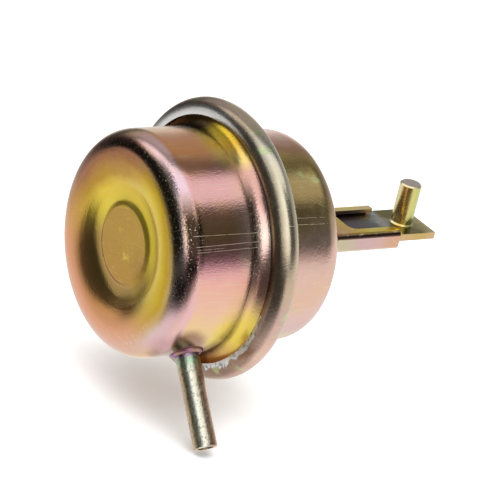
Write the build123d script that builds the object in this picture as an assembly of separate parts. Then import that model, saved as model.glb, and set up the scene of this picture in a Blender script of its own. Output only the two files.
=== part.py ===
from build123d import *
from math import cos, radians, sin
import os

# Vacuum fuel shut-off valve, in millimetres.
# X runs along the valve, from the vacuum end to the hook. +Z is the way the hook pin stands.
# The origin is the middle of the flat mounting face at the back of the rear shell.

# Canister
can_length = 40.35
rear_can_diameter = 42.2
shell_sheet = 0.9
front_corner_radius = 5.0
front_slope = 0.8
crest_inset = 7.3
crest_blend = 10.0
dish_depth = 2.3
dish_rise_width = 5.3
dish_blend = 5.0
pad_seat_width = 1.4
pad_step = 0.5
pad_step_width = 0.9
pad_blend = 1.0
rear_corner_radius = 4.8
rear_root_radius = 1.2

# Crimped rim: the rear shell's edge is rolled forward over the front shell's flange
rim_diameter = 56.0
rim_width = 5.5
rim_bead_radius = 2.8
rim_setback = 22.05
rim_lip_turn = 12.0
flare_radius = 3.8
flange_seat = 1.4
flange_clearance = 0.05

# Vacuum nipple, square to the valve's axis
nipple_diameter = 4.8
nipple_bore = 3.2
nipple_root_diameter = 5.4
nipple_root_show = 0.1
nipple_setback = 11.35
nipple_reach = 41.6
nipple_clock = 42.0
nipple_inset = 0.8
nipple_chamfer = 0.15
braze_width = 0.7
braze_height = 0.5
braze_foot = 0.3

# Guide tube folded from one sheet
guide_length = 24.8
guide_width = 12.8
guide_sheet = 0.8
guide_bend = 1.0
slot_width = 8.0
slot_end_clearance = 0.65
slot_corner = 1.8
lip_corner = 0.35
seam_gap = 0.12
foot_width = 9.0
foot_reach = 5.0
foot_bend = 0.1

# Slider bar and hook pin
bar_width = 10.9
bar_thickness = 1.5
bar_reach = 34.6
bar_edge = 0.12
tang_width = 7.0
bar_above = 0.4
bar_below = 0.65
pin_diameter = 4.5
pin_height = 8.85
pin_from_bar_end = 5.0
pin_chamfer = 0.3
pin_foot = 0.3
spigot_diameter = 3.4
peen_diameter = 4.4
peen_depth = 0.5

# Travel
stroke = 13.0
bumper_gap = 0.3

# Plunger stack inside the canister
cup_sheet = 0.8
cup_room = 9.0
cup_height = 7.0
cup_bend = 1.6
diaphragm_sheet = 0.8
diaphragm_clearance = 0.1
diaphragm_fold_front = 4.2
diaphragm_fold_radius = 3.3
diaphragm_root_radius = 0.6
diaphragm_wall_gap = 1.0
diaphragm_edge_width = 2.6
plate_thickness = 1.0
plate_inset = 1.0
plate_curl = 1.0
stud_shank = 2.4
stud_flange_radius = 5.0
stud_flange = 1.4
clevis_radius = 4.4
clevis_length = 4.0
clevis_slot_clearance = 0.05
cross_pin_diameter = 2.5
cross_pin_setback = 2.1
washer_radius = 5.0
washer_thickness = 0.8
peened_head_radius = 3.8
peened_head_height = 1.2

# Bar guide, seal and stop inside the rear shell
seal_thickness = 1.6
block_radius = 7.4
block_length = 5.8
block_bore_radius = 6.2
block_bore_depth = 2.8
retainer_sheet = 0.8
retainer_lip_radius = 6.4
retainer_ear_reach = 14.0
retainer_ear_width = 12.0
bumper_thickness = 2.1
running_clearance = 0.1
window_clearance = 0.1
part_clearance = 0.05

# Return spring
spring_wire = 1.4
spring_seat_margin = 0.05
spring_turns = 5

# Mounting: two weld nuts behind clearance holes in the rear face
bolt_spacing = 25.0
bolt_clearance_diameter = 5.5
nut_across_flats = 8.0
nut_height = 4.0
nut_bore_diameter = 4.2
nut_chamfer = 0.3
vent_diameter = 2.0
vent_radius = 13.0
vent_clock = 55.0

# Stations and radii worked out from the sizes above
front_x = -can_length
rear_radius = rear_can_diameter / 2
rim_radius = rim_diameter / 2
front_radius = rim_radius - rim_width
front_crest_radius = front_radius - crest_inset
dish_flat_radius = front_crest_radius - dish_rise_width
spring_mean_radius = dish_flat_radius - spring_seat_margin - spring_wire / 2
pad_radius = dish_flat_radius - pad_seat_width - pad_step_width
cup_radius = front_radius - cup_room
plate_radius = cup_radius - plate_inset
bead_x = front_x + rim_setback
bead_radius_from_axis = rim_radius - rim_bead_radius
bead_inner = rim_bead_radius - shell_sheet
flange_front_x = bead_x - flange_seat
flange_back_x = flange_front_x + shell_sheet
clamp_back_x = bead_x + bead_inner
flange_room = (bead_inner**2 - flange_seat**2) ** 0.5
flange_outer = bead_radius_from_axis + flange_room - flange_clearance

dish_x = front_x + dish_depth
pad_x = dish_x - pad_step
inner_face_x = -shell_sheet
foot_front_x = inner_face_x - guide_sheet
seal_front_x = foot_front_x - seal_thickness
block_front_x = seal_front_x - block_length
block_bore_x = block_front_x + block_bore_depth
retainer_front_x = block_front_x - retainer_sheet
bumper_front_x = retainer_front_x - bumper_thickness
retainer_radius = block_radius + retainer_sheet

plate_back_x = bumper_front_x - bumper_gap
plate_front_x = plate_back_x - plate_thickness
cup_back_x = plate_front_x - diaphragm_sheet
cup_front_x = cup_back_x - cup_sheet
washer_front_x = cup_front_x - washer_thickness
clevis_front_x = plate_back_x + stud_flange
clevis_back_x = clevis_front_x + clevis_length
cross_pin_x = clevis_back_x - cross_pin_setback
tang_front_x = clevis_front_x + part_clearance
tang_back_x = clevis_back_x + part_clearance

bar_top = bar_thickness / 2
guide_top = bar_top + bar_above + guide_sheet
guide_bottom = -bar_top - bar_below - guide_sheet
guide_height = guide_top - guide_bottom
guide_middle = (guide_top + guide_bottom) / 2
hook_x = bar_reach - pin_from_bar_end
slot_end_x = hook_x - stroke - pin_diameter / 2 - slot_end_clearance
slot_length = guide_length - slot_end_x
hook_top = bar_top + pin_height
bolt_radius = bolt_spacing / 2


def turned(section):
    """Turn a section, drawn as (x, radius), about the valve's axis."""
    return revolve(section, Axis.X, 360)


def turned_box(x_from, x_to, inner, outer):
    """A plain ring or disc about the valve's axis."""
    middle = ((x_from + x_to) / 2, (inner + outer) / 2)
    return turned(Pos(*middle) * Rectangle(abs(x_to - x_from), outer - inner))


def turned_sheet(path, thickness, side):
    """Give a drawn line the thickness of its sheet, and turn it about the valve's axis."""
    return turned(make_face(offset(path, amount=thickness, side=side)))


def along_x(sketch, x_from, x_to):
    """Extrude a sketch drawn as (y, z) from one station to another."""
    plane = Plane(origin=(x_from, 0, 0), x_dir=(0, 1, 0), z_dir=(1, 0, 0))
    return extrude(plane * sketch, x_to - x_from)


def nipple_plane(distance):
    """A plane square to the nipple, at a distance from the valve's axis."""
    lean = radians(nipple_clock)
    out = Vector(0, -sin(lean), -cos(lean))
    middle = Vector(front_x + nipple_setback, 0, 0)
    return Plane(origin=middle + out * distance, x_dir=(1, 0, 0), z_dir=out)


def guide_outline(room):
    """The guide tube's outline, drawn as (y, z), with room added all round or taken off."""
    outline = RectangleRounded(guide_width + 2 * room, guide_height + 2 * room, guide_bend + room)
    return Pos(0, guide_middle) * outline


def front_shell():
    """Deep-drawn vacuum can: dished end with a raised pad, straight wall and flared flange."""
    wall_x = front_x + front_slope
    path = FilletPolyline(
        (pad_x, 0),
        (pad_x, pad_radius),
        (dish_x, pad_radius + pad_step_width),
        (dish_x, dish_flat_radius),
        (front_x, front_crest_radius),
        (wall_x, front_radius),
        (flange_front_x, front_radius),
        (flange_front_x, flange_outer),
        radius=[pad_blend, pad_blend, dish_blend, crest_blend, front_corner_radius, flare_radius],
    )
    shell = turned_sheet(path, shell_sheet, Side.RIGHT)
    hole = nipple_root_diameter / 2 + part_clearance
    return shell - extrude(nipple_plane(0) * Circle(hole), nipple_reach)


def rear_shell():
    """Drawn rear can whose edge is rolled over into the rim's bead."""
    root_x = bead_x + rim_bead_radius
    wall = FilletPolyline(
        (0, 0),
        (0, rear_radius),
        (root_x, rear_radius),
        (root_x, bead_radius_from_axis),
        radius=[rear_corner_radius, rear_root_radius],
    )
    bead = CenterArc((bead_x, bead_radius_from_axis), rim_bead_radius, 0, 180 + rim_lip_turn)
    shell = turned_sheet(wall + bead, shell_sheet, Side.LEFT)
    window = guide_outline(window_clearance)
    shell -= along_x(window, -2 * shell_sheet, shell_sheet)
    for height in (-bolt_radius, bolt_radius):
        shell -= along_x(Pos(0, height) * Circle(bolt_clearance_diameter / 2), -2 * shell_sheet, shell_sheet)
    clock = radians(vent_clock)
    vent = Pos(vent_radius * sin(clock), vent_radius * cos(clock)) * Circle(vent_diameter / 2)
    return shell - along_x(vent, -2 * shell_sheet, shell_sheet)


def vacuum_nipple():
    """Straight steel tube that enters the front can's wall, a little thicker at its root."""
    start = front_radius - shell_sheet - nipple_inset
    root_end = front_radius + braze_height + nipple_root_show
    bore = nipple_bore / 2
    tube = nipple_diameter / 2
    root = nipple_root_diameter / 2
    section = make_face(
        Polyline(
            (bore, start),
            (root - nipple_chamfer, start),
            (root, start + nipple_chamfer),
            (root, root_end),
            (tube, root_end),
            (tube, nipple_reach - nipple_chamfer),
            (tube - nipple_chamfer, nipple_reach),
            (bore, nipple_reach),
            (bore, start),
        )
    )
    return nipple_plane(0).location * revolve(Plane.XZ * section, Axis.Z, 360)


def nipple_braze():
    """Ring of brazing metal in the corner between the nipple and the can."""
    tube = nipple_root_diameter / 2 + part_clearance
    toe = tube + braze_width
    sunk = front_radius - (front_radius**2 - toe**2) ** 0.5
    floor = front_radius - sunk - braze_foot
    foot = front_radius - sunk
    top = front_radius + braze_height
    outline = Polyline((tube, top), (tube, floor), (toe, floor), (toe, foot))
    hollow = RadiusArc((toe, foot), (tube, top), -1.4 * braze_width)
    section = make_face(outline + hollow)
    ring = revolve(Plane.XZ * section, Axis.Z, 360)
    ring = nipple_plane(0).location * ring
    can = along_x(Circle(front_radius + part_clearance / 2), front_x, 0)
    return ring - can


def diaphragm():
    """Rubber diaphragm: thick clamped edge, one rolling fold and a flat middle on the cup."""
    wall = cup_radius + diaphragm_clearance
    outer_wall = front_radius - shell_sheet - diaphragm_wall_gap
    web_front_x = (flange_back_x + clamp_back_x - diaphragm_sheet) / 2
    fold_front_x = web_front_x - diaphragm_fold_front
    path = FilletPolyline(
        (cup_back_x, stud_shank + diaphragm_clearance),
        (cup_back_x, wall),
        (fold_front_x, wall),
        (fold_front_x, outer_wall),
        (web_front_x, outer_wall),
        (web_front_x, flange_outer - diaphragm_edge_width),
        radius=[cup_bend, diaphragm_fold_radius, diaphragm_fold_radius, diaphragm_root_radius],
    )
    web = make_face(offset(path, amount=diaphragm_sheet, side=Side.RIGHT))
    edge_outer = flange_outer - 2 * part_clearance
    edge_inner = edge_outer - diaphragm_edge_width
    bevel = flange_room + 0.1
    edge = make_face(
        Polyline(
            (flange_back_x, edge_inner),
            (flange_back_x, edge_outer),
            (clamp_back_x - bevel, edge_outer),
            (clamp_back_x, edge_outer - bevel),
            (clamp_back_x, edge_inner),
            (flange_back_x, edge_inner),
        )
    )
    return turned(web + edge)


def piston_cup():
    """Drawn cup on the vacuum side, which holds the diaphragm and seats the spring."""
    path = FilletPolyline(
        (cup_back_x, stud_shank + part_clearance),
        (cup_back_x, cup_radius),
        (cup_back_x - cup_height, cup_radius),
        radius=cup_bend,
    )
    return turned_sheet(path, cup_sheet, Side.LEFT)


def backing_plate():
    """Pressed plate behind the diaphragm, with its edge turned back off the rubber."""
    path = FilletPolyline(
        (plate_front_x, stud_shank + part_clearance),
        (plate_front_x, plate_radius),
        (plate_back_x + plate_curl, plate_radius),
        radius=plate_thickness + 0.4,
    )
    return turned_sheet(path, plate_thickness, Side.RIGHT)


def clamp_washer():
    """Washer under the stud's peened head."""
    washer = turned_box(washer_front_x, cup_front_x, stud_shank + part_clearance, washer_radius)
    return chamfer(washer.edges().filter_by(GeomType.CIRCLE).group_by(SortBy.RADIUS)[-1], 0.2)


def centre_stud():
    """Turned stud: peened head, shank through the stack, flange and forked end for the bar."""
    head_x = washer_front_x - peened_head_height
    dome = ThreePointArc(
        (head_x, 0),
        (head_x + peened_head_height * 0.3, peened_head_radius * 0.7),
        (washer_front_x, peened_head_radius),
    )
    rest = Polyline(
        (washer_front_x, peened_head_radius),
        (washer_front_x, stud_shank),
        (plate_back_x, stud_shank),
        (plate_back_x, stud_flange_radius),
        (clevis_front_x, stud_flange_radius),
        (clevis_front_x, clevis_radius),
        (clevis_back_x, clevis_radius),
        (clevis_back_x, 0),
        (head_x, 0),
    )
    stud = turned(make_face(dome + rest))
    fork = Rectangle(2 * clevis_radius + 1, bar_thickness + 2 * clevis_slot_clearance)
    stud -= along_x(fork, clevis_front_x, clevis_back_x + 1)
    return stud - Pos(cross_pin_x, 0, 0) * Cylinder(cross_pin_diameter / 2 + part_clearance, 4 * clevis_radius)


def cross_pin():
    """Pin that ties the bar's tang into the stud's fork."""
    pin = Pos(cross_pin_x, 0, 0) * Cylinder(cross_pin_diameter / 2, 2 * clevis_radius)
    return chamfer(pin.edges().filter_by(GeomType.CIRCLE), 0.3)


def slider_bar():
    """Flat bar from the stud's fork, through the guide, to the hook."""
    full = Pos((tang_back_x + bar_reach) / 2, 0) * Rectangle(bar_reach - tang_back_x, bar_width)
    tang = Pos((tang_front_x + tang_back_x) / 2, 0) * Rectangle(tang_back_x - tang_front_x, tang_width)
    bar = extrude(Pos(0, 0, -bar_top) * (full + tang), bar_thickness)
    ends = bar.edges().filter_by(Axis.Y).group_by(Axis.X)[-1]
    bar = chamfer(ends, bar_edge)
    bar -= Pos(cross_pin_x, 0, 0) * Cylinder(cross_pin_diameter / 2 + part_clearance, 4 * bar_thickness)
    bar -= Pos(hook_x, 0, 0) * Cylinder(spigot_diameter / 2 + part_clearance, 4 * bar_thickness)
    sink = Cone(peen_diameter / 2 + part_clearance, spigot_diameter / 2 + part_clearance, peen_depth)
    return bar - Pos(hook_x, 0, -bar_top + peen_depth / 2) * sink


def hook_pin():
    """Round pin that stands on the bar, with a spigot peened into the bar's underside."""
    radius = pin_diameter / 2
    spigot = spigot_diameter / 2
    section = make_face(
        Polyline(
            (0, -bar_top),
            (peen_diameter / 2, -bar_top),
            (spigot, -bar_top + peen_depth),
            (spigot, bar_top),
            (radius + pin_foot, bar_top),
            (radius, bar_top + pin_foot),
            (radius, hook_top - pin_chamfer),
            (radius - pin_chamfer, hook_top),
            (0, hook_top),
            (0, -bar_top),
        )
    )
    return Pos(hook_x, 0, 0) * revolve(Plane.XZ * section, Axis.Z, 360)


def guide_tube():
    """Folded sheet guide: slotted top, butt seam underneath, and two feet welded inside."""
    tube = along_x(guide_outline(0) - guide_outline(-guide_sheet), inner_face_x, guide_length)
    walls = Rectangle(guide_width, guide_height - 2 * guide_bend)
    walls -= Rectangle(guide_width - 2 * guide_sheet, guide_height)
    tube += along_x(Pos(0, guide_middle) * walls, foot_front_x, inner_face_x)
    bore = turned_box(foot_front_x, 0, 0, block_radius - part_clearance)
    for skin, turn in ((guide_top, Side.LEFT), (guide_bottom, Side.RIGHT)):
        outward = foot_reach if skin > 0 else -foot_reach
        path = FilletPolyline((0, skin), (inner_face_x, skin), (inner_face_x, skin + outward), radius=foot_bend)
        foot = make_face(offset(path, amount=guide_sheet, side=turn))
        tube += extrude(Plane.XZ * foot, foot_width / 2, both=True) & bore
    slot = Pos(slot_end_x + slot_length, 0) * Rectangle(2 * slot_length, slot_width)
    slot = extrude(Pos(0, 0, bar_top) * slot, guide_height)
    slot = fillet(slot.edges().filter_by(Axis.Z).group_by(Axis.X)[0], slot_corner)
    tube -= slot
    lips = tube.edges().filter_by(Axis.Z).group_by(Axis.X)[-1]
    lips = lips.filter_by(lambda e: abs(abs(e.center().Y) - slot_width / 2) < 0.01)
    tube = fillet(lips, lip_corner)
    seam_depth = guide_sheet + foot_reach + 1
    seam_top = guide_bottom + guide_sheet + seam_gap
    seam = Pos(guide_length / 2, 0, seam_top - seam_depth / 2)
    return tube - seam * Box(2 * guide_length, seam_gap, seam_depth)


def bar_slot():
    """Outline that the bar runs through, with its running clearance."""
    return Rectangle(bar_width + 2 * running_clearance, bar_thickness + 2 * running_clearance)


def bar_seal():
    """Rubber wiper pad around the bar, behind the block."""
    seal = turned_box(seal_front_x, foot_front_x, 0, block_radius - part_clearance)
    return seal - along_x(bar_slot(), seal_front_x - 1, foot_front_x + 1)


def guide_block():
    """Moulded block that guides the bar and lets the stud's fork in."""
    block = turned_box(block_front_x, seal_front_x, 0, block_radius - part_clearance)
    block -= along_x(bar_slot(), block_front_x - 1, seal_front_x + 1)
    return block - turned_box(block_front_x - 1, block_bore_x, 0, block_bore_radius)


def block_retainer():
    """Pressed cup that holds the block and the seal, welded inside by its two ears."""
    cup = turned_box(retainer_front_x, inner_face_x, block_radius, retainer_radius)
    cup += turned_box(retainer_front_x, block_front_x, retainer_lip_radius, retainer_radius)
    ears = Circle(retainer_ear_reach) & Rectangle(2 * retainer_ear_reach, retainer_ear_width)
    ears -= Circle(block_radius)
    cup += along_x(ears, inner_face_x - retainer_sheet, inner_face_x)
    rim = cup.edges().filter_by(GeomType.CIRCLE).group_by(Axis.X)[0].group_by(SortBy.RADIUS)[-1]
    return fillet(rim, retainer_sheet / 2)


def stop_bumper():
    """Rubber ring that stops the plunger when the spring has pushed it out."""
    ring = turned_box(bumper_front_x, retainer_front_x, retainer_lip_radius, retainer_radius - part_clearance)
    return fillet(ring.edges().filter_by(GeomType.CIRCLE).group_by(Axis.X)[0], 0.5)


def return_spring():
    """Compression spring with closed ends, wound as half turns that lean from one to the next."""
    seat = part_clearance + spring_wire / 2
    station = dish_x + shell_sheet + seat
    leaning = 2 * spring_turns - 2
    rise = (cup_front_x - seat - station) / leaning
    side = 1
    half_turns = []
    for step in [0, *[rise] * leaning, 0]:
        start = Vector(station, side * spring_mean_radius, 0)
        end = Vector(station + step, -side * spring_mean_radius, 0)
        bulge = (end - start).length / 2
        half_turns.append(ThreePointArc(start, (station + step / 2, 0, side * bulge), end))
        station += step
        side = -side
    line = Wire(half_turns)
    return sweep(Plane(origin=line @ 0, z_dir=line % 0) * Circle(spring_wire / 2), path=line)


def weld_nut(height):
    """Hexagon weld nut behind one of the two mounting holes."""
    hexagon = RegularPolygon(nut_across_flats / 2, 6, major_radius=False)
    nut = along_x(hexagon, inner_face_x - nut_height, inner_face_x)
    nut = chamfer(nut.faces().filter_by(Axis.X).edges(), nut_chamfer)
    nut -= along_x(Circle(nut_bore_diameter / 2), inner_face_x - nut_height, inner_face_x)
    return Pos(0, 0, height) * nut


parts = {
    "front_shell": front_shell(),
    "rear_shell": rear_shell(),
    "vacuum_nipple": vacuum_nipple(),
    "nipple_braze": nipple_braze(),
    "diaphragm": diaphragm(),
    "piston_cup": piston_cup(),
    "backing_plate": backing_plate(),
    "clamp_washer": clamp_washer(),
    "centre_stud": centre_stud(),
    "cross_pin": cross_pin(),
    "slider_bar": slider_bar(),
    "hook_pin": hook_pin(),
    "guide_tube": guide_tube(),
    "bar_seal": bar_seal(),
    "guide_block": guide_block(),
    "block_retainer": block_retainer(),
    "stop_bumper": stop_bumper(),
    "return_spring": return_spring(),
    "weld_nut_upper": weld_nut(bolt_radius),
    "weld_nut_lower": weld_nut(-bolt_radius),
}

os.makedirs("parts", exist_ok=True)
for name, shape in parts.items():
    export_step(shape, f"parts/{name}.step")
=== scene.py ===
import bpy
import bmesh
import math
from mathutils import Matrix, Vector


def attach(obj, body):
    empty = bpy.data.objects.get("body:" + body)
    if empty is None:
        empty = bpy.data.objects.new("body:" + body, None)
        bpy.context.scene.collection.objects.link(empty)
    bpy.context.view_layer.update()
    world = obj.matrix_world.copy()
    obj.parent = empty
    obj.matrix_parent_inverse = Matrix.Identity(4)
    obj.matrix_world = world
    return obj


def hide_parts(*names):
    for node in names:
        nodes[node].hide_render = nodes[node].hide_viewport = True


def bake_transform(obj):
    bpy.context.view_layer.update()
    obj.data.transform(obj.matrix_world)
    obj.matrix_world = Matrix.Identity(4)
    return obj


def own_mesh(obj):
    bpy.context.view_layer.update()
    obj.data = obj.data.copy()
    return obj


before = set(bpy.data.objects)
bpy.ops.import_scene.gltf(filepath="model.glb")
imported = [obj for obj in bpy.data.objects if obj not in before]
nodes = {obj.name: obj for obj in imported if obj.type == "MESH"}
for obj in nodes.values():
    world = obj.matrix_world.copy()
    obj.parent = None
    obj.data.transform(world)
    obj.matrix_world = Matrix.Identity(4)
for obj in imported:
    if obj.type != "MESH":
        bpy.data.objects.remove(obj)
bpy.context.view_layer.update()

scene = bpy.context.scene
mm = 0.001

# The camera stands where the photograph was taken from
cameraSettings = {
    "place": (-0.40890, -0.49199, 0.27397),
    "azimuth": 39.2141,   # degrees from -Y towards -X
    "elevation": 23.5931,
    "roll": -13.9276,
    "lens": 249.93,
    "sensor": 36.0,
    "clipStart": 0.01,
}


def makeCamera(settings):
    azimuth = math.radians(settings["azimuth"])
    elevation = math.radians(settings["elevation"])
    roll = math.radians(settings["roll"])
    level = math.cos(elevation)
    back = Vector((-level * math.sin(azimuth), -level * math.cos(azimuth), math.sin(elevation)))
    right = (-back).cross(Vector((0, 0, 1))).normalized()
    up = right.cross(-back)
    rolledRight = math.cos(roll) * right - math.sin(roll) * up
    rolledUp = math.sin(roll) * right + math.cos(roll) * up
    lensData = bpy.data.cameras.new("camera")
    lensData.lens = settings["lens"]
    lensData.sensor_width = settings["sensor"]
    lensData.clip_start = settings["clipStart"]
    camera = bpy.data.objects.new("camera", lensData)
    scene.collection.objects.link(camera)
    turn = Matrix((rolledRight, rolledUp, back)).transposed().to_4x4()
    turn.translation = Vector(settings["place"])
    camera.matrix_world = turn
    scene.camera = camera


makeCamera(cameraSettings)
print("camera set")


# Short ways to write node trees
class Wiring:
    def __init__(self, tree):
        self.tree = tree

    def put(self, value, socket):
        if isinstance(value, bpy.types.NodeSocket):
            self.tree.links.new(value, socket)
        else:
            socket.default_value = value

    def add(self, kind, inputs=None, **props):
        node = self.tree.nodes.new(kind)
        for key, value in props.items():
            setattr(node, key, value)
        for key, value in (inputs or {}).items():
            self.put(value, node.inputs[key])
        return node

    def calc(self, operation, a, b=0.0, c=0.0):
        return self.add("ShaderNodeMath", {0: a, 1: b, 2: c}, operation=operation).outputs[0]

    def joined(self, operation, values):
        total = values[0]
        for value in values[1:]:
            total = self.calc(operation, total, value)
        return total

    def times(self, *values):
        return self.joined("MULTIPLY", values)

    def plus(self, *values):
        return self.joined("ADD", values)

    def most(self, *values):
        return self.joined("MAXIMUM", values)

    def without(self, value):
        return self.calc("SUBTRACT", 1.0, value)

    def centred(self, value, amount):   # a noise or a clock, swung either way of its middle
        return self.times(self.plus(value, -0.5), amount)

    def distance(self, across, up):
        return self.calc("SQRT", self.plus(self.times(across, across), self.times(up, up)))

    def clock(self, up, across):   # 0 to 1 round a circle, 0.5 where it points across
        angle = self.calc("ARCTAN2", up, across)
        return self.calc("MULTIPLY_ADD", angle, 0.5 / math.pi, 0.5)

    def place(self):   # where on the part: a vector in metres, then x, y and z in mm
        where = self.add("ShaderNodeTexCoord").outputs["Object"]
        parts = self.add("ShaderNodeSeparateXYZ", {0: where}).outputs
        return where, *[self.times(part, 1000.0) for part in parts]

    def along(self, where, direction):   # mm
        inputs = {0: where, 1: direction}
        node = self.add("ShaderNodeVectorMath", inputs, operation="DOT_PRODUCT")
        return self.times(node.outputs["Value"], 1000.0)

    def ease(self, value, low, high, toLow=0.0, toHigh=1.0):
        inputs = {0: value, 1: low, 2: high, 3: toLow, 4: toHigh}
        return self.add("ShaderNodeMapRange", inputs, interpolation_type="SMOOTHSTEP").outputs[0]

    def band(self, value, low, high, soft):
        rise = self.ease(value, low - soft, low + soft)
        fall = self.ease(value, high - soft, high + soft, 1.0, 0.0)
        return self.times(rise, fall)

    def mix(self, share, a, b):
        node = self.add("ShaderNodeMix", data_type="RGBA")
        self.put(share, node.inputs[0])
        for color, socket in ((a, node.inputs[6]), (b, node.inputs[7])):
            self.put((*color, 1.0) if isinstance(color, tuple) else color, socket)
        return node.outputs[2]

    def paint(self, color, tint, *masks):
        return self.mix(self.times(*masks), color, tint)

    def noise(self, vector, scale, detail=2.0, roughness=0.5):
        inputs = {"Vector": vector, "Scale": scale, "Detail": detail, "Roughness": roughness}
        return self.add("ShaderNodeTexNoise", inputs).outputs[0]

    def stretch(self, vector, scale, turn=(0, 0, 0)):
        inputs = {"Vector": vector, "Scale": scale, "Rotation": turn}
        return self.add("ShaderNodeMapping", inputs).outputs[0]

    def tints(self, value, stops):
        node = self.add("ShaderNodeValToRGB", {0: value})
        ramp = node.color_ramp
        while len(ramp.elements) < len(stops):
            ramp.elements.new(0.5)
        for element, (place, color) in zip(ramp.elements, stops):
            element.position = place
            element.color = (*color, 1.0)
        return node.outputs[0]


def newMaterial(name):
    material = bpy.data.materials.new(name)
    material.use_nodes = True
    material.node_tree.nodes.clear()
    return material, Wiring(material.node_tree)


# Studio: a white table, a tall soft light at the camera's left, one overhead, a white wall behind.
# Each light has its brightness and, by direction, where it fades in along x, y and z
studioSettings = {
    "room": 0.07,
    "lights": {
        "table": {"z": (0.15, -0.15)},
        "tableFar": {"bright": 0.86, "z": (-0.08, -0.45)},
        "tablePatch": {"bright": 0.36, "xBand": (-0.86, -0.60, 0.06), "z": (-0.02, -0.16)},
        "tableCorner": {
            "bright": 0.75, "xBand": (-0.80, -0.50, 0.06), "y": (0.58, 0.68), "z": (0.07, -0.05),
        },
        "tableNear": {"bright": 0.90, "z": (-0.42, -0.75)},
        "wall": {"x": (0.42, 0.6), "y": (0.45, 0.75), "z": (0.40, 0.10)},
        "wallDim": {"bright": 0.46, "x": (-0.3, 0.05), "y": (0.15, 0.5), "z": (0.12, 0.32)},
        "right": {"bright": 0.45, "x": (0.75, 1.0)},
        "tall": {
            "bright": 1.4, "xBand": (-0.84, 0.21, 0.09), "y": (-0.30, -0.50), "z": (0.05, 0.22),
        },
        "left": {
            "bright": 1.2, "xBand": (-0.57, -0.2, 0.07), "y": (-0.25, 0.0), "z": (0.38, 0.52),
        },
        "overhead": {"bright": 1.15, "x": (-0.85, -0.7), "z": (0.55, 0.72)},
    },
    "farLeft": {"x": (0.52, 0.15), "y": (0.0, 0.35)},
    "nearLeft": {"x": (0.15, -0.35), "y": (0.35, 0.0)},
    "tableEnd": (-0.94, -0.86, 0.45, 1.0),   # dimmer past this x
    "overheadNear": (-0.62, -0.45),          # the overhead light's edges, as y over z
    "overheadFar": (0.16, 0.02),
    "overheadSkew": (0.3, -0.6, 0.0, -0.35),
}
floorSettings = {
    "height": -32.5 * mm,
    "size": 1.5,
    "paint": (0.8, 0.8, 0.8, 1),
    "glow": 0.78,
    "contactReach": 0.022,   # the shadow deepens where the valve is nearer than this
    "contactLean": (0.7, 0.0, 0.71),
}


def lightMask(w, way, light):
    edges = [w.ease(way[axis], *light[axis]) for axis in "xyz" if axis in light]
    if "xBand" in light:
        edges.append(w.band(way["x"], *light["xBand"]))
    return w.times(*edges, light.get("bright", 1.0))


def makeWorld(settings):
    world = bpy.data.worlds.new("studio")
    scene.world = world
    world.use_nodes = True
    world.node_tree.nodes.clear()
    w = Wiring(world.node_tree)
    direction = w.add("ShaderNodeTexCoord").outputs["Generated"]
    way = dict(zip("xyz", w.add("ShaderNodeSeparateXYZ", {0: direction}).outputs))
    light = {name: lightMask(w, way, row) for name, row in settings["lights"].items()}

    # the table ends further down on the left, and its near left is dark
    farLeft = lightMask(w, way, settings["farLeft"])
    nearLeft = lightMask(w, way, settings["nearLeft"])
    tableRest = w.times(light["table"], w.without(w.plus(farLeft, nearLeft)))
    tableFar = w.most(light["tableFar"], light["tablePatch"], light["tableCorner"])
    tableFar = w.times(tableFar, w.ease(way["x"], *settings["tableEnd"]), farLeft)
    table = w.plus(tableRest, tableFar, w.times(light["tableNear"], nearLeft))

    slope = w.calc("DIVIDE", way["y"], w.most(way["z"], 0.05))
    farEdge = w.plus(slope, w.ease(way["x"], *settings["overheadSkew"]))
    overhead = w.times(light["overhead"], w.ease(slope, *settings["overheadNear"]))
    overhead = w.times(overhead, w.ease(farEdge, *settings["overheadFar"]))

    others = [light[name] for name in ("wall", "wallDim", "tall", "left")]
    total = w.most(w.plus(light["right"], settings["room"]), table, overhead, *others)
    rays = w.add("ShaderNodeLightPath").outputs
    shown = w.most(rays["Is Camera Ray"], rays["Is Transmission Ray"])
    strength = w.most(total, shown)   # glossy rays see the studio drawn above
    background = w.add("ShaderNodeBackground", {"Color": (1, 1, 1, 1), "Strength": strength})
    w.add("ShaderNodeOutputWorld", {"Surface": background.outputs[0]})
    world.cycles.sampling_method = "MANUAL"
    world.cycles.sample_map_resolution = 1024


def makeFloor(settings):
    mesh = bpy.data.meshes.new("floor")
    build = bmesh.new()
    bmesh.ops.create_grid(build, x_segments=1, y_segments=1, size=settings["size"])
    bmesh.ops.translate(build, verts=build.verts, vec=(0, 0, settings["height"]))
    build.to_mesh(mesh)
    build.free()
    floor = bpy.data.objects.new("floor", mesh)
    scene.collection.objects.link(floor)
    material, w = newMaterial("paleFloor")
    paint = w.add("ShaderNodeBsdfDiffuse", {"Color": settings["paint"]})
    rays = w.add("ShaderNodeLightPath").outputs
    shown = w.most(rays["Is Camera Ray"], rays["Is Glossy Ray"], rays["Is Transmission Ray"])
    inputs = {"Distance": settings["contactReach"], "Normal": settings["contactLean"]}
    contact = w.add("ShaderNodeAmbientOcclusion", inputs, samples=16)
    shadow = w.ease(contact.outputs["AO"], 0.3, 0.8, 0.3, 1.0)
    strength = w.times(shown, shadow, settings["glow"])
    glow = w.add("ShaderNodeEmission", {"Color": (1, 1, 1, 1), "Strength": strength})
    both = w.add("ShaderNodeAddShader", {0: paint.outputs[0], 1: glow.outputs[0]})
    w.add("ShaderNodeOutputMaterial", {"Surface": both.outputs[0]})
    mesh.materials.append(material)
    floor.visible_glossy = False   # metal sees the table that the world draws


makeWorld(studioSettings)
makeFloor(floorSettings)
print("studio set")


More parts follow.
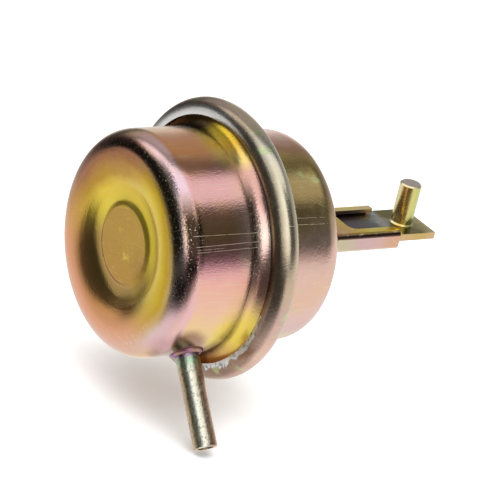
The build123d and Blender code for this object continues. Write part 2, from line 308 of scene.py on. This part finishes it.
# Directions square to the valve's axis: clock angles start towards the camera
clockStart = (0.0, -0.8711, 0.4911)
clockUp = (0.0, 0.4911, 0.8711)
nippleWay = (0.0, -0.66913, -0.74314)
nippleSide = (0.0, 0.74314, -0.66913)
nippleX = -29.0   # mm


def valveCoordinates(w, settings):
    where, x, y, z = w.place()
    towards = w.along(where, clockStart)
    upwards = w.along(where, clockUp)
    clock = w.clock(upwards, towards)
    driftScale, driftTurn = settings["drift"]
    drift = w.noise(where, driftScale, 3.0, 0.55)
    return {
        "where": where, "x": x, "radius": w.distance(y, z), "towards": towards,
        "upwards": upwards, "clock": clock, "drift": drift,
        "shifted": w.plus(clock, w.centred(drift, driftTurn)),
    }


def clockStops(stops):
    ordered = [(degrees / 360 + 0.5, color) for degrees, color in stops]
    return [(0.0, ordered[-1][1]), *ordered, (1.0, ordered[-1][1])]


def radiusStops(stops, radius):
    return [(place / radius, color) for place, color in stops]


def clockWindow(w, clock, centre, width, soft):
    # how near a clock angle is, the short way round, in degrees
    turn = w.calc("WRAP", w.plus(clock, -(centre / 360 + 0.5)), 0.5, -0.5)
    return w.ease(w.calc("ABSOLUTE", turn), (width + soft) / 360, max(width - soft, 0) / 360)


def grainHeight(w, where, fine, coarse, slow):
    # plating grain, in metres of height
    small = w.times(w.noise(where, 3200.0, 1.0), fine)
    medium = w.times(w.noise(where, 1400.0, 2.0, 0.6), coarse)
    wave = w.times(w.noise(where, 130.0, 1.0), slow)
    return w.plus(small, medium, wave)


def finishMetal(w, color, roughness, height, metallic=1.0):
    bump = w.add("ShaderNodeBump", {"Strength": 1.0, "Distance": 1.0, "Height": height})
    inputs = {"Base Color": color, "Metallic": metallic, "Roughness": roughness}
    shader = w.add("ShaderNodeBsdfPrincipled", {**inputs, "Normal": bump.outputs[0]})
    w.add("ShaderNodeOutputMaterial", {"Surface": shader.outputs[0]})


def finishPatchy(w, where, color, patch, settings):
    # the roughness follows a noise: its least value and how far it rises
    smooth, spread = settings["roughness"]
    roughness = w.plus(w.times(patch, spread), smooth)
    heights = grainHeight(w, where, *settings["grain"])
    finishMetal(w, color, roughness, heights, settings.get("metallic", 1.0))


def lineMask(w, across, along, start, end, width):
    # a thin straight scratch, in the two coordinates given, in mm
    lean = Vector((end[0] - start[0], end[1] - start[1]))
    length = lean.length
    lean.normalize()
    fromStart = w.plus(across, -start[0])
    upStart = w.plus(along, -start[1])
    forward = w.plus(w.times(fromStart, lean.x), w.times(upStart, lean.y))
    aside = w.plus(w.times(fromStart, -lean.y), w.times(upStart, lean.x))
    thin = w.ease(w.calc("ABSOLUTE", aside), width, width * 0.3)
    return w.times(thin, w.band(forward, 0.0, length, 0.4))


def scratchMask(w, across, along, rows):
    return w.most(*[lineMask(w, across, along, *row) for row in rows])


def drawnStreaks(w, where, squeeze, scale):
    # noise pulled out along the valve's axis
    return w.noise(w.stretch(where, (squeeze, 1, 1)), scale, 2.0)


# Wear that both cans share
canWear = {
    "scratchTint": (0.92, 0.82, 0.62),
    "speckTint": (0.95, 0.90, 0.80),
    "scratchRoughness": 0.3,
}


def wornCan(w, where, color, scratches):
    color = w.paint(color, canWear["scratchTint"], scratches, 0.8)
    specks = w.ease(w.noise(where, 1500.0, 1.0), 0.80, 0.84)
    return w.paint(color, canWear["speckTint"], specks, 0.6)


# Front can: rose rim, yellow dish, pink and peach wall. Tints go by clock angle or by radius in mm
frontCan = {
    "roughness": 0.17,
    "grain": (2.2e-5, 1.2e-5, 1.5e-5),   # metres, fine to slow
    "radius": 22.5,
    "drift": (95.0, 0.06),   # how finely the tints wander, and how far round the clock
    "wallTints": [
        (-175, (0.80, 0.50, 0.36)), (-140, (0.82, 0.46, 0.38)), (-110, (0.84, 0.55, 0.36)),
        (-80, (0.84, 0.56, 0.33)), (-62, (0.84, 0.60, 0.32)), (-50, (0.86, 0.60, 0.30)),
        (-38, (0.87, 0.54, 0.38)), (-26, (0.85, 0.48, 0.38)), (-17, (0.82, 0.38, 0.42)),
        (-8, (0.82, 0.40, 0.36)), (0, (0.72, 0.44, 0.20)), (10, (0.84, 0.46, 0.30)),
        (20, (0.70, 0.40, 0.39)), (30, (0.70, 0.38, 0.37)), (38, (0.84, 0.42, 0.26)),
        (48, (0.80, 0.36, 0.13)), (60, (0.80, 0.36, 0.18)), (72, (0.74, 0.46, 0.26)),
        (85, (0.62, 0.48, 0.30)), (110, (0.76, 0.46, 0.28)), (145, (0.82, 0.60, 0.28)),
    ],
    # the flare's plating with painted light: whiter near 0 degrees as a painted highlight, near
    # black from 74 to 90 degrees as painted shade
    "flareTintsWithPaintedLight": [
        (-170, (0.82, 0.55, 0.30)), (-120, (0.80, 0.52, 0.22)), (-85, (0.62, 0.32, 0.10)),
        (-72, (0.74, 0.46, 0.12)), (-62, (0.85, 0.64, 0.10)), (-48, (0.88, 0.66, 0.12)),
        (-36, (0.86, 0.54, 0.32)), (-24, (0.84, 0.42, 0.34)), (-10, (0.90, 0.62, 0.54)),
        (0, (0.92, 0.72, 0.62)), (15, (0.72, 0.43, 0.38)), (30, (0.71, 0.40, 0.33)),
        (40, (0.88, 0.66, 0.22)), (52, (0.80, 0.48, 0.05)), (62, (0.74, 0.52, 0.04)),
        (74, (0.18, 0.11, 0.02)), (90, (0.10, 0.06, 0.02)), (135, (0.80, 0.55, 0.28)),
    ],
    "faceRight": [
        (0, (0.55, 0.34, 0.065)), (7.4, (0.55, 0.34, 0.065)), (9.0, (0.87, 0.68, 0.06)),
        (12, (0.88, 0.72, 0.06)), (14.4, (0.82, 0.60, 0.05)), (17.6, (0.62, 0.40, 0.02)),
        (19.2, (0.70, 0.48, 0.20)), (20.6, (0.80, 0.68, 0.62)), (22.5, (0.82, 0.62, 0.60)),
    ],
    "faceTop": [
        (0, (0.55, 0.33, 0.065)), (7.4, (0.55, 0.33, 0.065)), (9.0, (0.88, 0.68, 0.08)),
        (12, (0.88, 0.64, 0.08)), (14.2, (0.56, 0.32, 0.045)), (17, (0.46, 0.20, 0.075)),
        (19.5, (0.46, 0.20, 0.14)), (22.5, (0.54, 0.32, 0.22)),
    ],
    "faceLeft": [
        (0, (0.54, 0.32, 0.065)), (7.4, (0.54, 0.31, 0.065)), (9.0, (0.50, 0.32, 0.10)),
        (11, (0.50, 0.32, 0.10)), (13.5, (0.82, 0.40, 0.14)), (16.5, (0.84, 0.40, 0.22)),
        (19.5, (0.87, 0.49, 0.36)), (22.5, (0.84, 0.54, 0.45)),
    ],
    # painted lilac highlights on the corner: x from and to in mm, clock angle, half width, share,
    # tint
    "paintedSheens": [
        (-38.6, -36.2, 42, 26, 0.6, (0.86, 0.70, 0.82)),
        (-39.4, -35.4, -48, 22, 0.65, (0.82, 0.50, 0.58)),
    ],
    # painted dark reflections in the bends: x from, x to and softness in mm, then clock angle,
    # half width, fade, depth
    "paintedDarkBends": [
        (-40.0, -38.95, 0.3, 42, 54, 12, 0.9),
        (-39.2, -38.05, 0.35, 33, 11, 9, 0.85),
        (-39.4, -38.0, 0.35, -28, 10, 8, 0.88),
        (-38.2, -36.3, 0.28, -3, 20, 9, 0.97),
        (-36.9, -35.2, 0.45, 0, 12, 8, 0.97),
        (-24.2, -22.0, 0.45, -4, 28, 10, 0.85),
    ],
    # scratches: start, end and half width in mm, as x and arc on the wall
    "wallLines": [
        ((-37.0, 0.35), (-22.6, 0.25), 0.07),
        ((-36.6, -1.75), (-22.6, -1.45), 0.08),
        ((-36.4, -2.85), (-22.8, -2.55), 0.06),
        ((-36.0, -2.35), (-30.5, -2.25), 0.05),
        ((-34.2, 10.4), (-24.5, 10.2), 0.04),
        ((-36.0, -8.3), (-31.0, -8.1), 0.035),
        ((-35.5, -13.5), (-29.0, -13.2), 0.035),
        ((-33.5, -18.0), (-27.0, -17.8), 0.035),
    ],
    # and towards the camera and upwards, low on the corner
    "cornerLines": [
        ((-3.0, -17.0), (1.5, -20.4), 0.11),
        ((0.5, -17.2), (2.6, -20.8), 0.09),
        ((3.2, -17.6), (1.0, -20.9), 0.11),
        ((5.8, -17.2), (3.0, -20.2), 0.09),
        ((-1.5, -19.4), (4.0, -18.6), 0.08),
        ((7.6, -15.6), (5.6, -19.0), 0.05),
        ((-5.5, -16.6), (-4.2, -19.6), 0.04),
    ],
    "padSpots": [(0.2, -2.6, 1.9), (-0.4, 3.0, 1.0), (1.6, 0.2, 0.8)],   # place and size in mm
    "haloTint": (0.46, 0.16, 0.36),
    "smokeTint": (0.24, 0.09, 0.05),
    "smokeSide": -3.6,
    "smokeX": -33.0,
    "brushedTint": (0.90, 0.74, 0.45),
    "bendShadeTint": (0.026, 0.016, 0.011),
    "grainAndGlintTint": (0.80, 0.78, 0.56),
    "spotTint": (0.86, 0.68, 0.12),
}


def frontPlating(w, v, settings):
    x, drift, shifted = v["x"], v["drift"], v["shifted"]
    wall = w.tints(shifted, clockStops(settings["wallTints"]))
    flare = w.tints(shifted, clockStops(settings["flareTintsWithPaintedLight"]))
    wall = w.mix(w.ease(w.plus(x, w.centred(drift, 5.0)), -29.0, -25.0), wall, flare)

    canRadius = settings["radius"]
    outward = w.times(w.plus(v["radius"], w.centred(drift, 3.5)), 1 / canRadius)
    sides = [settings[key] for key in ("faceRight", "faceTop", "faceLeft")]
    right, top, left = [w.tints(outward, radiusStops(side, canRadius)) for side in sides]
    face = w.mix(clockWindow(w, shifted, 98, 50, 24), right, top)
    face = w.mix(clockWindow(w, shifted, -138, 70, 26), face, left)
    onWall = w.times(w.ease(v["radius"], 19.6, 21.6), w.ease(x, -39.6, -37.4))
    return w.mix(onWall, face, wall)


def brazingHeat(w, v, color, settings):
    # purple halo round the nipple's root, and a brown patch beside it
    along = w.along(v["where"], nippleWay)
    sideways = w.along(v["where"], nippleSide)
    nippleHalf = w.ease(along, 0.0, 10.0)
    fromNipple = w.distance(sideways, w.plus(v["x"], -nippleX))
    halo = w.ease(w.plus(fromNipple, w.times(v["drift"], 1.5)), 5.4, 3.6)
    color = w.paint(color, settings["haloTint"], halo, nippleHalf, 0.85)
    smokeAcross = w.plus(sideways, -settings["smokeSide"])
    fromSmoke = w.distance(smokeAcross, w.plus(v["x"], -settings["smokeX"]))
    smoke = w.ease(w.plus(fromSmoke, w.times(v["drift"], 3.0)), 8.6, 5.8)
    return w.paint(color, settings["smokeTint"], smoke, nippleHalf, 0.8)


def frontBrushing(w, v, color, settings):
    # slanting on the dish, along the wall elsewhere
    onFace = w.ease(v["x"], -37.5, -38.2)
    slant = w.noise(w.stretch(v["where"], (1, 1, 6.0), (math.radians(35), 0, 0)), 900.0, 2.0)
    drawn = drawnStreaks(w, v["where"], 0.06, 2600.0)
    streaks = w.plus(w.times(slant, onFace), w.times(drawn, w.without(onFace)))
    return w.paint(color, settings["brushedTint"], w.ease(streaks, 0.56, 0.70), 0.16)


def cornerPaintedSheen(w, v, color, settings):
    # painted lilac highlights above and below the corner's painted dark bands
    onCorner = w.ease(v["radius"], 18.8, 19.8)
    for low, high, centre, width, share, tint in settings["paintedSheens"]:
        window = clockWindow(w, v["shifted"], centre, width, 12)
        color = w.paint(color, tint, w.band(v["x"], low, high, 0.6), window, onCorner, share)
    return color


def paintedBendReflections(w, v, settings):
    # painted dark reflections in the two bends, with a few painted bright glints in them
    grit = w.noise(v["where"], 3300.0, 2.0, 0.7)
    gritX = w.plus(v["x"], w.centred(grit, 1.8))
    rows = []
    for low, high, soft, centre, width, fade, depth in settings["paintedDarkBends"]:
        window = clockWindow(w, v["clock"], centre, width, fade)
        rows.append(w.times(w.band(gritX, low, high, soft), window, depth))
    paintedShadeBands = w.times(w.most(*rows), w.ease(v["radius"], 18.5, 19.5))
    paintedGlints = w.ease(w.noise(v["where"], 2900.0, 1.0, 0.6), 0.62, 0.72)
    return paintedShadeBands, w.times(paintedGlints, paintedShadeBands)


def frontScratches(w, v, settings):
    arc = w.centred(v["clock"], 2 * math.pi * settings["radius"])
    onWall = scratchMask(w, v["x"], arc, settings["wallLines"])
    low = w.times(w.ease(v["upwards"], -12.0, -16.0), w.ease(v["x"], -36.0, -37.0))
    onCorner = scratchMask(w, v["towards"], v["upwards"], settings["cornerLines"])
    broken = w.ease(w.noise(v["where"], 900.0, 2.0), 0.22, 0.42)
    return w.times(w.most(onWall, w.times(onCorner, low)), broken)


def rubbedSpots(w, v, settings):
    # yellow spots rubbed on the pad
    spots = []
    for towards, upwards, size in settings["padSpots"]:
        away = w.distance(w.plus(v["towards"], -towards), w.plus(v["upwards"], -upwards))
        spots.append(w.ease(away, size, size * 0.4))
    broken = w.ease(w.noise(v["where"], 700.0, 3.0, 0.6), 0.50, 0.60)
    return w.times(w.most(*spots), broken, w.ease(v["x"], -37.0, -37.6), 0.5)


def makeFrontZinc(settings):
    material, w = newMaterial("yellowZincFrontCan")
    v = valveCoordinates(w, settings)
    where = v["where"]
    color = frontPlating(w, v, settings)
    color = brazingHeat(w, v, color, settings)
    color = frontBrushing(w, v, color, settings)
    color = cornerPaintedSheen(w, v, color, settings)
    paintedShadeBands, paintedGlints = paintedBendReflections(w, v, settings)
    # painted dark reflections in the bends, and painted glints in them
    color = w.paint(color, settings["bendShadeTint"], paintedShadeBands)
    color = w.paint(color, settings["grainAndGlintTint"], paintedGlints, 0.7)
    color = w.paint(color, settings["spotTint"], rubbedSpots(w, v, settings))
    scratches = frontScratches(w, v, settings)
    color = wornCan(w, where, color, scratches)

    # duller round the pad's step
    padEdge = w.times(w.band(v["radius"], 7.3, 12.0, 0.5), w.ease(v["x"], -37.5, -37.9))
    padEdge = w.times(padEdge, clockWindow(w, v["clock"], 0, 100, 25), 0.22)
    patchy = w.times(w.noise(where, 700.0, 3.0), 0.08)
    scuffed = w.times(scratches, canWear["scratchRoughness"])
    roughness = w.plus(patchy, scuffed, padEdge, settings["roughness"])
    heights = w.plus(grainHeight(w, where, *settings["grain"]), w.times(paintedGlints, 2.0e-5))
    finishMetal(w, color, roughness, heights)
    return material


# Rear can and the bead of the rim
rearCan = {
    "roughness": 0.2,
    "grain": (2.2e-5, 1.4e-5, 1.5e-5),
    "radius": 21.1,
    "beadRadius": 27.5,
    "drift": (110.0, 0.07),
    "wallTints": [
        (-170, (0.80, 0.55, 0.42)), (-120, (0.80, 0.60, 0.36)), (-78, (0.68, 0.52, 0.30)),
        (-65, (0.72, 0.48, 0.46)), (-50, (0.78, 0.54, 0.46)), (-38, (0.80, 0.52, 0.38)),
        (-25, (0.78, 0.52, 0.44)), (-14, (0.84, 0.54, 0.46)), (-6, (0.95, 0.68, 0.52)),
        (4, (0.80, 0.60, 0.30)), (12, (0.48, 0.34, 0.15)), (22, (0.33, 0.24, 0.10)),
        (32, (0.42, 0.32, 0.14)), (40, (0.54, 0.40, 0.13)), (50, (0.46, 0.26, 0.14)),
        (64, (0.76, 0.46, 0.38)), (80, (0.80, 0.60, 0.50)), (120, (0.80, 0.62, 0.30)),
    ],
    # darker low down, round -110 to -78 degrees: painted shade
    "beadTints": [
        (-170, (0.78, 0.60, 0.42)), (-110, (0.60, 0.38, 0.28)), (-78, (0.50, 0.30, 0.22)),
        (-58, (0.78, 0.52, 0.42)), (-38, (0.62, 0.43, 0.37)), (-20, (0.60, 0.46, 0.32)),
        (0, (0.68, 0.60, 0.44)), (20, (0.70, 0.64, 0.48)), (36, (0.74, 0.68, 0.58)),
        (52, (0.60, 0.50, 0.36)), (70, (0.52, 0.38, 0.30)), (95, (0.50, 0.36, 0.28)),
        (125, (0.62, 0.48, 0.36)),
    ],
    "wallLines": [
        ((-15.0, 1.3), (-4.6, 1.1), 0.07),
        ((-14.6, 2.6), (-5.0, 2.4), 0.05),
        ((-15.0, -6.0), (-8.0, -5.8), 0.03),
    ],
    "beadLines": [
        ((-20.4, 4.4), (-16.6, 4.0), 0.06),
        ((-20.0, 1.0), (-17.4, 0.9), 0.05),
        ((-19.6, -27.5), (-17.4, -26.8), 0.06),
    ],
    "beadFrontShade": (0.12, 0.08, 0.04),
    "lipHighlight": (0.86, 0.86, 0.84),
    "greenTint": (0.52, 0.66, 0.30),
    "beadBackTint": (0.88, 0.62, 0.50),
    "cornerTint": (0.66, 0.42, 0.34),
    "sealantTints": ((0.42, 0.42, 0.42), (0.92, 0.92, 0.92)),
    "brushedTint": (0.88, 0.76, 0.52),
}


def rearPlating(w, v, settings):
    x, radius, clock = v["x"], v["radius"], v["clock"]
    wall = w.tints(v["shifted"], clockStops(settings["wallTints"]))
    bead = w.tints(v["shifted"], clockStops(settings["beadTints"]))
    color = w.mix(w.ease(x, -14.6, -15.8), wall, bead)

    # painted shade on the bead's front, except high up, where its lip has a painted highlight
    front = w.ease(w.plus(x, w.centred(v["drift"], 1.0)), -19.3, -20.3)
    highUp = clockWindow(w, clock, 95, 38, 14)
    color = w.paint(color, settings["beadFrontShade"], front, w.without(highUp), 0.5)
    lipHighlightWindow = clockWindow(w, clock, 88, 36, 14)
    color = w.paint(color, settings["lipHighlight"], w.ease(x, -20.5, -20.9), lipHighlightWindow, 0.85)

    green = w.ease(w.noise(v["where"], 210.0, 2.0), 0.60, 0.70)
    color = w.paint(color, settings["greenTint"], green, 0.5)

    # a bright band on the bead's back edge, and a dull strip on the rear corner
    backEdge = w.times(w.band(x, -16.35, -15.75, 0.25), w.ease(radius, 24.4, 25.4))
    color = w.paint(color, settings["beadBackTint"], backEdge, 0.8)
    return w.paint(color, settings["cornerTint"], w.ease(x, -4.0, -2.0), 0.55)


def crimpSealant(w, v, ragged):
    # squeezed out of the crimp, low on the near side
    outer = w.plus(v["radius"], w.centred(ragged, 3.4))
    lip = w.times(w.ease(v["x"], -19.5, -20.0), w.ease(outer, 25.9, 25.5))
    lowDown = w.times(clockWindow(w, v["clock"], -70, 30, 16), 0.5)
    return w.times(lip, w.ease(w.plus(lowDown, ragged), 0.80, 0.86))


def makeRearZinc(settings):
    material, w = newMaterial("yellowZincRearCan")
    v = valveCoordinates(w, settings)
    where, x = v["where"], v["x"]
    color = rearPlating(w, v, settings)
    ragged = w.noise(where, 300.0, 2.0)
    sealant = crimpSealant(w, v, ragged)
    blotches = w.ease(w.noise(where, 1100.0, 2.0), 0.36, 0.5)
    color = w.mix(sealant, color, w.mix(blotches, *settings["sealantTints"]))
    drawn = w.ease(drawnStreaks(w, where, 0.08, 2200.0), 0.58, 0.72)
    color = w.paint(color, settings["brushedTint"], drawn, 0.2)

    wallArc = w.centred(v["clock"], 2 * math.pi * settings["radius"])
    beadArc = w.centred(v["clock"], 2 * math.pi * settings["beadRadius"])
    onWall = scratchMask(w, x, wallArc, settings["wallLines"])
    onBead = scratchMask(w, x, beadArc, settings["beadLines"])
    broken = w.ease(w.noise(where, 900.0, 2.0), 0.36, 0.5)
    scratches = w.times(w.most(onWall, onBead), broken)
    color = wornCan(w, where, color, scratches)

    patchy = w.times(w.noise(where, 700.0, 3.0), 0.12)
    scuffed = w.times(scratches, canWear["scratchRoughness"])
    roughness = w.plus(patchy, w.times(sealant, 0.25), scuffed, settings["roughness"])
    lumps = w.times(sealant, ragged, 2.5e-4)
    finishMetal(w, color, roughness, w.plus(grainHeight(w, where, *settings["grain"]), lumps))
    return material


# Nipple: grainy olive plating, green and purple at its hot end. Tints go round the tube, with a
# painted highlight streak, near white, from 0.08 to 0.18 of the way round
nipple = {
    "roughness": (0.24, 0.14),
    "grain": (2.4e-5, 7.0e-5, 3.0e-5),
    "root": 22.5,   # mm from the valve's axis
    "tints": [
        (0.0, (0.58, 0.42, 0.30)), (0.05, (0.50, 0.40, 0.20)), (0.08, (0.84, 0.82, 0.62)),
        (0.14, (0.96, 0.96, 0.86)), (0.18, (0.70, 0.68, 0.54)), (0.23, (0.50, 0.40, 0.30)),
        (0.31, (0.58, 0.36, 0.22)), (0.37, (0.80, 0.56, 0.46)), (0.50, (0.74, 0.54, 0.36)),
        (0.75, (0.76, 0.56, 0.34)), (1.0, (0.58, 0.42, 0.30)),
    ],
    "hotTint": (0.30, 0.60, 0.38),
    "hottestTint": (0.45, 0.20, 0.40),
    "grainAndGlintTint": (0.85, 0.86, 0.62),
    "pitTint": (0.10, 0.08, 0.04),
}


def makeNippleZinc(settings):
    material, w = newMaterial("yellowZincNipple")
    where, x, y, z = w.place()
    along = w.along(where, nippleWay)
    turn = w.clock(w.along(where, nippleSide), w.plus(x, -nippleX))   # 0.5 towards the hook pin
    grain = w.noise(where, 1300.0, 3.0, 0.7)
    root = settings["root"]
    color = w.tints(turn, settings["tints"])
    hot = w.ease(w.plus(along, w.times(grain, 2.5)), root + 5.6, root + 2.0)
    color = w.paint(color, settings["hotTint"], hot, 0.8)
    hottest = w.ease(along, root + 1.7, root + 0.6)
    color = w.paint(color, settings["hottestTint"], hottest, 0.8)
    color = w.paint(color, settings["grainAndGlintTint"], w.ease(grain, 0.52, 0.66), 0.45)
    pits = w.ease(w.noise(where, 2000.0, 2.0, 0.7), 0.53, 0.64)
    color = w.paint(color, settings["pitTint"], pits, 0.5)
    finishPatchy(w, where, color, grain, settings)
    return material


# Guide tube: gold lips, pink and peach side, cream lower edge. Tints go along it
guideTube = {
    "roughness": (0.2, 0.12),
    "grain": (1.2e-5, 2.2e-5, 3.0e-5),
    "reach": (8.0, 25.0),
    "sideTints": [
        (0.0, (0.60, 0.54, 0.34)), (0.4, (0.66, 0.46, 0.44)), (0.75, (0.70, 0.46, 0.42)),
        (1.0, (0.72, 0.42, 0.28)),
    ],
    "topTints": [
        (0.0, (0.74, 0.40, 0.20)), (0.35, (0.80, 0.58, 0.08)), (0.7, (0.90, 0.74, 0.12)),
        (1.0, (0.92, 0.68, 0.14)),
    ],
    "farTints": ((0.90, 0.72, 0.26), (0.92, 0.66, 0.42)),
    "lowTint": (0.84, 0.72, 0.56),
    "bendShadeTint": (0.12, 0.07, 0.05),
    "wornTint": (0.92, 0.85, 0.65),
}


def makeGuideZinc(settings):
    material, w = newMaterial("yellowZincGuide")
    where, x, y, z = w.place()
    drift = w.noise(where, 260.0, 3.0)
    forward = w.ease(w.plus(x, w.centred(drift, 5.0)), *settings["reach"])
    side = w.tints(forward, settings["sideTints"])
    side = w.paint(side, settings["lowTint"], w.ease(z, -1.2, -2.0), 0.6)
    farLip = w.mix(w.ease(drift, 0.42, 0.6), *settings["farTints"])
    top = w.mix(w.ease(y, 0.0, 2.0), w.tints(forward, settings["topTints"]), farLip)
    color = w.mix(w.ease(z, 1.5, 1.85), side, top)
    # painted shade along the near bend
    nearBend = w.times(w.band(z, 0.95, 1.85, 0.12), w.ease(y, -4.8, -5.4))
    color = w.paint(color, settings["bendShadeTint"], nearBend, 0.95)
    worn = w.ease(w.noise(where, 800.0, 2.0), 0.62, 0.7)
    color = w.paint(color, settings["wornTint"], worn, 0.3)
    finishPatchy(w, where, color, drift, settings)
    return material


# Slider bar: slate blue where the plating is thin, olive and gold at the tip, and dark from 0.72
# to 0.84 near the pin's foot, a painted reflection of the pin
sliderBar = {
    "roughness": (0.2, 0.12),
    "grain": (1.0e-5, 2.0e-5, 2.0e-5),
    "reach": (10.0, 36.0),
    "topTints": [
        (0.0, (0.10, 0.06, 0.08)), (0.22, (0.12, 0.09, 0.11)), (0.48, (0.14, 0.17, 0.15)),
        (0.60, (0.42, 0.42, 0.38)), (0.72, (0.17, 0.14, 0.015)), (0.84, (0.17, 0.14, 0.02)),
        (1.0, (0.62, 0.52, 0.26)),
    ],
    "edgeTints": ((0.62, 0.44, 0.16), (0.70, 0.46, 0.28)),
    "edgeHalf": 0.7,   # mm up and down from the bar's middle
    "rubbedTint": (0.85, 0.80, 0.62),
}


def makeBarZinc(settings):
    material, w = newMaterial("yellowZincBar")
    where, x, y, z = w.place()
    drift = w.noise(where, 240.0, 3.0)
    forward = w.ease(w.plus(x, w.centred(drift, 8.0)), *settings["reach"])
    top = w.tints(forward, settings["topTints"])
    edge = w.mix(w.ease(drift, 0.4, 0.6), *settings["edgeTints"])
    onEdge = w.band(z, -settings["edgeHalf"], settings["edgeHalf"], 0.06)
    color = w.mix(onEdge, top, edge)
    rubbed = w.ease(drawnStreaks(w, where, 0.08, 1800.0), 0.58, 0.7)
    color = w.paint(color, settings["rubbedTint"], rubbed, 0.12)
    finishPatchy(w, where, color, drift, settings)
    return material


# Hook pin: bright gold with an orange streak, greyer on its end
hookPin = {
    "roughness": (0.2, 0.14),
    "grain": (1.4e-5, 3.0e-5, 2.0e-5),
    "x": 29.6,
    "chamfer": (9.28, 9.52, 0.05),   # mm up, from, to and softness
    "end": (9.5, 9.58),
    "tints": [
        (0.0, (0.95, 0.88, 0.50)), (0.06, (0.92, 0.80, 0.38)), (0.12, (0.88, 0.58, 0.14)),
        (0.16, (0.90, 0.66, 0.22)), (0.20, (0.78, 0.66, 0.22)), (0.26, (0.62, 0.62, 0.22)),
        (0.33, (0.56, 0.58, 0.26)), (0.5, (0.80, 0.70, 0.25)), (0.8, (0.88, 0.74, 0.30)),
        (1.0, (0.95, 0.88, 0.50)),
    ],
    "endTint": (0.60, 0.50, 0.44),
    "chamferTint": (0.95, 0.86, 0.60),
    "grainAndGlintTint": (0.92, 0.90, 0.60),
}


def makePinZinc(settings):
    material, w = newMaterial("yellowZincPin")
    where, x, y, z = w.place()
    turn = w.clock(y, w.plus(x, -settings["x"]))
    turn = w.plus(turn, w.centred(w.noise(where, 320.0, 3.0), 0.04))
    color = w.tints(turn, settings["tints"])
    color = w.paint(color, settings["endTint"], w.ease(z, *settings["end"]))
    color = w.paint(color, settings["chamferTint"], w.band(z, *settings["chamfer"]), 0.6)
    grain = w.noise(where, 1200.0, 3.0, 0.65)
    color = w.paint(color, settings["grainAndGlintTint"], w.ease(grain, 0.52, 0.68), 0.3)
    finishPatchy(w, where, color, grain, settings)
    return material


# The braze and the pieces inside the canister: plain finishes in soft patches
patchyFinishes = {
    "brazeMetal": {
        "patches": (420.0, 3.0), "roughness": (0.3, 0.15), "grain": (1.0e-5, 4.0e-5, 2.0e-4),
        "tints": [(0.3, (0.34, 0.14, 0.30)), (0.5, (0.52, 0.26, 0.34)), (0.7, (0.44, 0.28, 0.14))],
    },
    "plainSteel": {
        "patches": (300.0, 3.0), "roughness": (0.26, 0.16), "grain": (1.0e-5, 2.0e-5, 1.0e-5),
        "tints": [(0.0, (0.50, 0.50, 0.49)), (1.0, (0.62, 0.62, 0.60))],
    },
    "springSteel": {
        "patches": (500.0, 3.0), "roughness": (0.24, 0.12), "grain": (8.0e-6, 1.5e-5, 1.0e-5),
        "tints": [(0.0, (0.34, 0.34, 0.35)), (1.0, (0.50, 0.49, 0.47))],
    },
    "blackRubber": {
        "patches": (600.0, 4.0), "roughness": (0.55, 0.2), "grain": (1.0e-5, 2.0e-5, 2.0e-5),
        "tints": [(0.0, (0.025, 0.025, 0.026)), (1.0, (0.055, 0.053, 0.05))], "metallic": 0.0,
    },
    "naturalNylon": {
        "patches": (350.0, 3.0), "roughness": (0.38, 0.12), "grain": (6.0e-6, 1.5e-5, 1.0e-5),
        "tints": [(0.0, (0.74, 0.71, 0.61)), (1.0, (0.84, 0.81, 0.72))], "metallic": 0.0,
    },
}


def makePatchyFinish(name, settings):
    material, w = newMaterial(name)
    where = w.add("ShaderNodeTexCoord").outputs["Object"]
    patch = w.noise(where, *settings["patches"])
    finishPatchy(w, where, w.tints(patch, settings["tints"]), patch, settings)
    return material


plain = {name: makePatchyFinish(name, settings) for name, settings in patchyFinishes.items()}
finishes = {
    "front_shell": makeFrontZinc(frontCan),
    "rear_shell": makeRearZinc(rearCan),
    "vacuum_nipple": makeNippleZinc(nipple),
    "nipple_braze": plain["brazeMetal"],
    "guide_tube": makeGuideZinc(guideTube),
    "slider_bar": makeBarZinc(sliderBar),
    "hook_pin": makePinZinc(hookPin),
    "return_spring": plain["springSteel"],
    "guide_block": plain["naturalNylon"],
    "diaphragm": plain["blackRubber"],
    "bar_seal": plain["blackRubber"],
    "stop_bumper": plain["blackRubber"],
}
for name, node in nodes.items():
    for slot in node.material_slots:
        slot.material = finishes.get(name, plain["plainSteel"])
print("materials set")

# The spring shortens and the diaphragm rolls as the plunger is pulled in on the real valve; here
# each is only a merged copy that stands for its node
coilSpring = {
    "node": "return_spring",
    "slot": "spring_steel",
    "fixedEnd": (-37.15 * mm, 0, 0),
    "keep": 0.4144,   # 22.2 mm at rest, 9.2 mm when pulled in
}
rollingRubber = {
    "node": "diaphragm",
    "slot": "black_rubber",
    "clampSide": (-16.3 * mm, 0, 0),
    "plungerSide": (-14.2 * mm, 0, 0),
}
copying = {
    "weld": 1e-6,
    "sharpAngle": 35,   # degrees
}


def copyOfNode(name, settings):
    mesh = nodes[settings["node"]].data.copy()
    if "custom_normal" in mesh.attributes:
        mesh.attributes.remove(mesh.attributes["custom_normal"])
    build = bmesh.new()
    build.from_mesh(mesh)
    bmesh.ops.remove_doubles(build, verts=build.verts, dist=copying["weld"])
    build.to_mesh(mesh)
    build.free()
    mesh.set_sharp_from_angle(angle=math.radians(copying["sharpAngle"]))
    mesh.materials.clear()
    mesh.materials.append(finishes[settings["node"]])
    piece = bpy.data.objects.new(name, mesh)
    scene.collection.objects.link(piece)
    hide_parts(settings["node"])
    return piece


spring = copyOfNode("coilSpring", coilSpring)
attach(spring, "housing")
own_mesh(spring)

diaphragm = copyOfNode("rollingRubber", rollingRubber)
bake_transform(diaphragm)
print("soft pieces set")

scene.view_settings.view_transform = "Standard"
